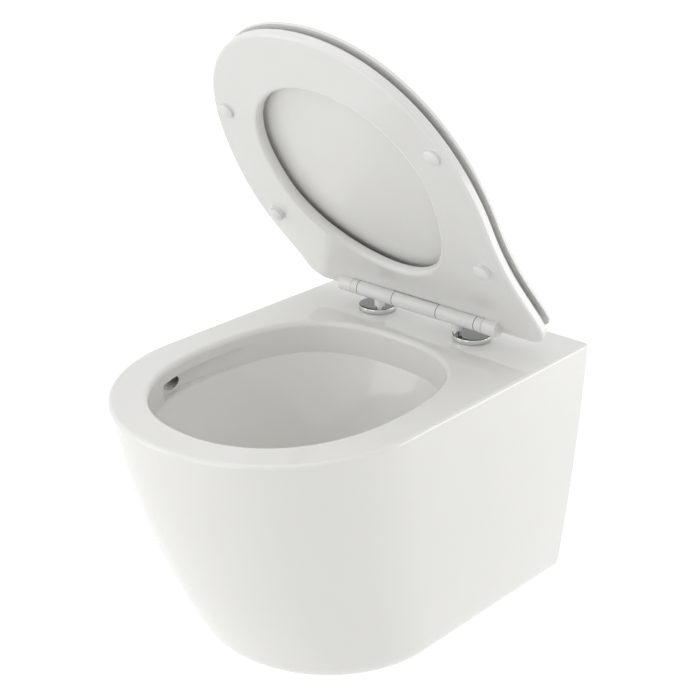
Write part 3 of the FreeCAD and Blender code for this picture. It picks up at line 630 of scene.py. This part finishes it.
@dataclass
class HingeFeet:
    """The two chrome feet of the hinge, turned and polished, and their threaded studs."""

    finishes: Finishes
    disc_radius: float = 23.5 * MM
    disc_low: float = 81.0 * MM
    disc_top: float = 87.0 * MM
    disc_edge: float = 1.1 * MM
    disc_at: tuple[float, float] = (73.4 * MM, -78.0 * MM)
    crown: float = 0.25 * MM
    crown_shares: tuple[float, ...] = (0.8, 0.55, 0.3, 0.05)
    disc_sides: int = 128
    stud_sides: int = 32
    stud_radius: float = 4.0 * MM
    stud_depth: float = 0.55 * MM
    stud_pitch: float = 1.25 * MM
    stud_length: float = 76.0 * MM
    stud_top: float = 85.4 * MM
    stud_at: tuple[float, float] = (77.5 * MM, -78.0 * MM)
    made: list[str] = field(default_factory=list)

    def disc_rings(self) -> list[Ring]:
        """The rings of a foot, with a rounded edge and a very slightly crowned top.

        Returns:
            Pairs of radius and height, upwards.
        """
        flat = self.disc_top - self.crown
        rings = Bench.rounded(self.disc_radius, self.disc_low, flat, self.disc_edge)
        inner = self.disc_radius - self.disc_edge
        for share in self.crown_shares:
            rings.append((inner * share, flat + self.crown * (1.0 - share ** 2)))
        return rings

    def stud_rings(self) -> list[Ring]:
        """The rings of a stud: a chamfered point, then one ridge and one groove for each pitch.

        Returns:
            Pairs of radius and height, upwards.
        """
        root = self.stud_radius - self.stud_depth
        low = self.stud_top - self.stud_length
        rings = [(root - self.stud_depth, low)]
        for turn in range(int(self.stud_length / self.stud_pitch)):
            height = low + self.stud_pitch * (turn + 0.25)
            rings.append((root, height))
            rings.append((self.stud_radius, height + self.stud_pitch / 2))
        rings.append((root, self.stud_top))
        return rings

    def pair(self, stem: str, first: bpy.types.Object, x: float, finish: bpy.types.Material) -> None:
        """Puts a piece and its copy in the place of a left and a right node.

        Args:
            stem: the first words of both nodes' names.
            first: the piece, in its place on the left.
            x: how far each lies from the middle.
            finish: their material.
        """
        right = Bench.copied(first, f"{stem}_turned_right", (2 * x, 0.0, 0.0))
        for side, piece in ((Side.LEFT, first), (Side.RIGHT, right)):
            node = f"{stem}_{side.value}"
            Bench.hand_over(piece, Body.PAN, finish, node)
            self.made.append(node)

    def build(self) -> None:
        """Models the feet and the studs."""
        x, y = self.disc_at
        disc = Bench.turned("hinge_disc_turned_left", self.disc_rings(), self.disc_sides)
        Bench.move(disc, (-x, y, 0.0))
        self.pair("hinge_disc", disc, x, self.finishes.foot_chrome)
        x, y = self.stud_at
        stud = Bench.turned("seat_bolt_turned_left", self.stud_rings(), self.stud_sides)
        Bench.move(stud, (-x, y, 0.0))
        self.pair("seat_bolt", stud, x, self.finishes.bolt)

    def report(self) -> None:
        """Logs what was modelled."""
        for node in self.made:
            LOG.info("hinge feet, modelled: %s", node)


@dataclass
class RoundedHardware:
    """Small moulded and turned parts whose edges get the fine round of the real ones."""

    body: Body
    edges: dict[str, float]
    finishes: dict[str, bpy.types.Material]
    made: list[str] = field(default_factory=list)

    def build(self) -> None:
        """Rounds each node of these kinds, left, right or single."""
        for stem, edge in self.edges.items():
            names = [stem] + [f"{stem}_{side.value}" for side in Side]
            for node in [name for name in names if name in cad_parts]:
                piece = Bench.rounded_copy(node, edge)
                Bench.hand_over(piece, self.body, self.finishes[stem], node)
                self.made.append(node)

    def report(self) -> None:
        """Logs what was rounded."""
        for node in self.made:
            LOG.info("%s, edges rounded: %s", self.body.value, node)


@dataclass(frozen=True)
class SoftBox:
    """A large soft studio lamp that points at the object."""

    name: str
    at: Colour
    size: tuple[float, float]
    watts: float
    colour: Colour = (1.0, 1.0, 1.0)
    aim: Colour = (0.0, -0.26, 0.05)

    def light(self) -> None:
        """Adds the lamp to the scene."""
        data = bpy.data.lights.new(self.name, "AREA")
        data.shape = "RECTANGLE"
        data.size, data.size_y = self.size
        data.energy = self.watts
        data.color = self.colour
        lamp = bpy.data.objects.new(self.name, data)
        lamp.location = self.at
        lamp.rotation_euler = (Vector(self.aim) - Vector(self.at)).to_track_quat("-Z", "Y").to_euler()
        bpy.context.scene.collection.objects.link(lamp)


@dataclass(frozen=True)
class Studio:
    """The floor, the white surroundings, the lamps and the camera."""

    ambient: float = 0.72
    floor_level: float = -0.62
    floor_lift: float = 0.45
    floor_colour: Colour = (0.80, 0.80, 0.79)
    camera_at: Colour = (1.0011, -1.3414, 0.7319)
    camera_azimuth: float = 41.66
    camera_elevation: float = 23.06
    lens: float = 73.76
    sensor: float = 36.0
    nearest: float = 0.05
    floor_size: float = 30.0
    floor_roughness: float = 0.9
    boxes: tuple[SoftBox, ...] = (
        SoftBox("box_top", (0.1, -0.5, 2.6), (2.0, 2.0), 10.6),
        SoftBox("box_left_front", (-1.9, -2.3, 0.9), (1.2, 2.2), 9.0),
        SoftBox("box_front", (0.3, -3.2, 0.2), (1.6, 1.6), 12.2),
        SoftBox("box_front_left_low", (-1.4, -2.2, -0.3), (1.2, 0.6), 2.6),
        SoftBox("box_right_back_low", (1.35, 1.25, -0.15), (1.3, 0.9), 11.2),
        SoftBox("box_front_left_high", (-1.2, -1.8, 2.4), (1.4, 1.4), 2.7),
    )

    def surroundings(self) -> None:
        """A white world for what the camera sees and what gloss reflects, and a plain grey one for light."""
        world = bpy.data.worlds.new("white_room")
        bpy.context.scene.world = world
        world.use_nodes = True
        tree = world.node_tree
        background = next(node for node in tree.nodes if node.type == "BACKGROUND")
        background.inputs["Color"].default_value = (1.0, 1.0, 1.0, 1.0)
        seen = self.seen_directly(tree)
        strength = tree.nodes.new("ShaderNodeMapRange")
        strength.inputs["To Min"].default_value = self.ambient
        strength.inputs["To Max"].default_value = 1.0
        tree.links.new(seen, strength.inputs["Value"])
        tree.links.new(strength.outputs["Result"], background.inputs["Strength"])

    def seen_directly(self, tree: bpy.types.NodeTree) -> bpy.types.NodeSocket:
        """A value of 1 for rays from the camera, from gloss and through clear things.

        Args:
            tree: the node tree to add the nodes to.

        Returns:
            The socket with the value.
        """
        path = tree.nodes.new("ShaderNodeLightPath")
        value = path.outputs["Is Camera Ray"]
        for name in ("Is Glossy Ray", "Is Transmission Ray"):
            larger = tree.nodes.new("ShaderNodeMath")
            larger.operation = "MAXIMUM"
            tree.links.new(value, larger.inputs[0])
            tree.links.new(path.outputs[name], larger.inputs[1])
            value = larger.outputs[0]
        return value

    def floor(self) -> None:
        """A wide pale floor well below the pan, lifted towards white where it is looked at."""
        bpy.ops.mesh.primitive_plane_add(size=self.floor_size, location=(0.0, 0.0, self.floor_level))
        floor = bpy.context.active_object
        floor.name = "studio_floor"
        builder = ShaderBuilder("floor_pale")
        builder.tint(builder.noise(0.4), self.floor_colour, self.floor_colour)
        builder.set("Roughness", self.floor_roughness)
        builder.set("Emission Color", (1.0, 1.0, 1.0))
        lift = builder.tree.nodes.new("ShaderNodeMath")
        lift.operation = "MULTIPLY"
        lift.inputs[1].default_value = self.floor_lift
        builder.link(self.seen_directly(builder.tree), lift.inputs[0])
        builder.link(lift.outputs[0], builder.shader.inputs["Emission Strength"])
        floor.data.materials.append(builder.material)

    def camera(self) -> None:
        """A camera at the photograph's place, with its lens."""
        turn, tilt = math.radians(self.camera_azimuth), math.radians(self.camera_elevation)
        look = Vector((-math.sin(turn) * math.cos(tilt), math.cos(turn) * math.cos(tilt), -math.sin(tilt)))
        data = bpy.data.cameras.new("photo_camera")
        data.lens = self.lens
        data.sensor_width = self.sensor
        data.clip_start = self.nearest
        camera = bpy.data.objects.new("photo_camera", data)
        camera.location = self.camera_at
        camera.rotation_euler = look.to_track_quat("-Z", "Y").to_euler()
        bpy.context.scene.collection.objects.link(camera)
        bpy.context.scene.camera = camera

    def build(self) -> None:
        """Sets up the whole studio."""
        bpy.context.scene.view_settings.view_transform = "Standard"
        self.camera()
        self.surroundings()
        self.floor()
        for box in self.boxes:
            box.light()


def main() -> None:
    """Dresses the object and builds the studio."""
    logging.basicConfig(level=logging.INFO, format="%(message)s")
    bpy.ops.object.select_all(action="DESELECT")
    Studio().build()
    finishes = Finishes()
    assemblies = [
        Assembly(
            "pan",
            {
                "pan": finishes.china, "skirt": finishes.china, "bowl": finishes.china,
                "trapway": finishes.china, "inlet_socket": finishes.china, "fixing_lug": finishes.china,
                "wall_sleeve": finishes.sleeve,
            },
        ),
        Assembly(
            "hinge feet",
            {
                "hinge_disc": finishes.chrome, "hinge_pin": finishes.chrome, "disc_gasket": finishes.gasket,
                "seat_bolt": finishes.bolt, "bolt_bush": finishes.bush, "bolt_washer": finishes.bolt,
                "bolt_nut": finishes.nut,
            },
        ),
        Assembly(
            "hinge bar",
            {
                "hinge_barrel": finishes.hinge, "seat_collar": finishes.hinge, "lid_knuckle": finishes.hinge,
                "damper": finishes.damper, "seat_shaft": finishes.shaft, "lid_shaft": finishes.shaft,
            },
        ),
        Assembly(
            "seat",
            {
                "seat": finishes.seat, "seat_buffer_front": finishes.buffer,
                "seat_buffer_rear": finishes.buffer,
            },
        ),
        Assembly("lid", {"lid": finishes.lid, "lid_buffer": finishes.buffer}),
    ]
    for assembly in assemblies:
        assembly.dress()
        assembly.report()
    hardware = [
        HingeFeet(finishes),
        RoundedHardware(
            Body.PAN,
            {
                "hinge_barrel": 0.45 * MM, "hinge_pin": 0.4 * MM, "wall_sleeve": 0.5 * MM,
                "bolt_nut": 0.5 * MM, "bolt_washer": 0.25 * MM, "bolt_bush": 0.4 * MM,
            },
            {
                "hinge_barrel": finishes.hinge, "hinge_pin": finishes.chrome, "wall_sleeve": finishes.sleeve,
                "bolt_nut": finishes.nut, "bolt_washer": finishes.bolt, "bolt_bush": finishes.bush,
            },
        ),
        RoundedHardware(Body.SEAT, {"seat_collar": 0.45 * MM}, {"seat_collar": finishes.hinge}),
        RoundedHardware(Body.LID, {"lid_knuckle": 0.6 * MM}, {"lid_knuckle": finishes.hinge}),
    ]
    for group in hardware:
        group.build()
        group.report()


if __name__ == "__main__":
    main()
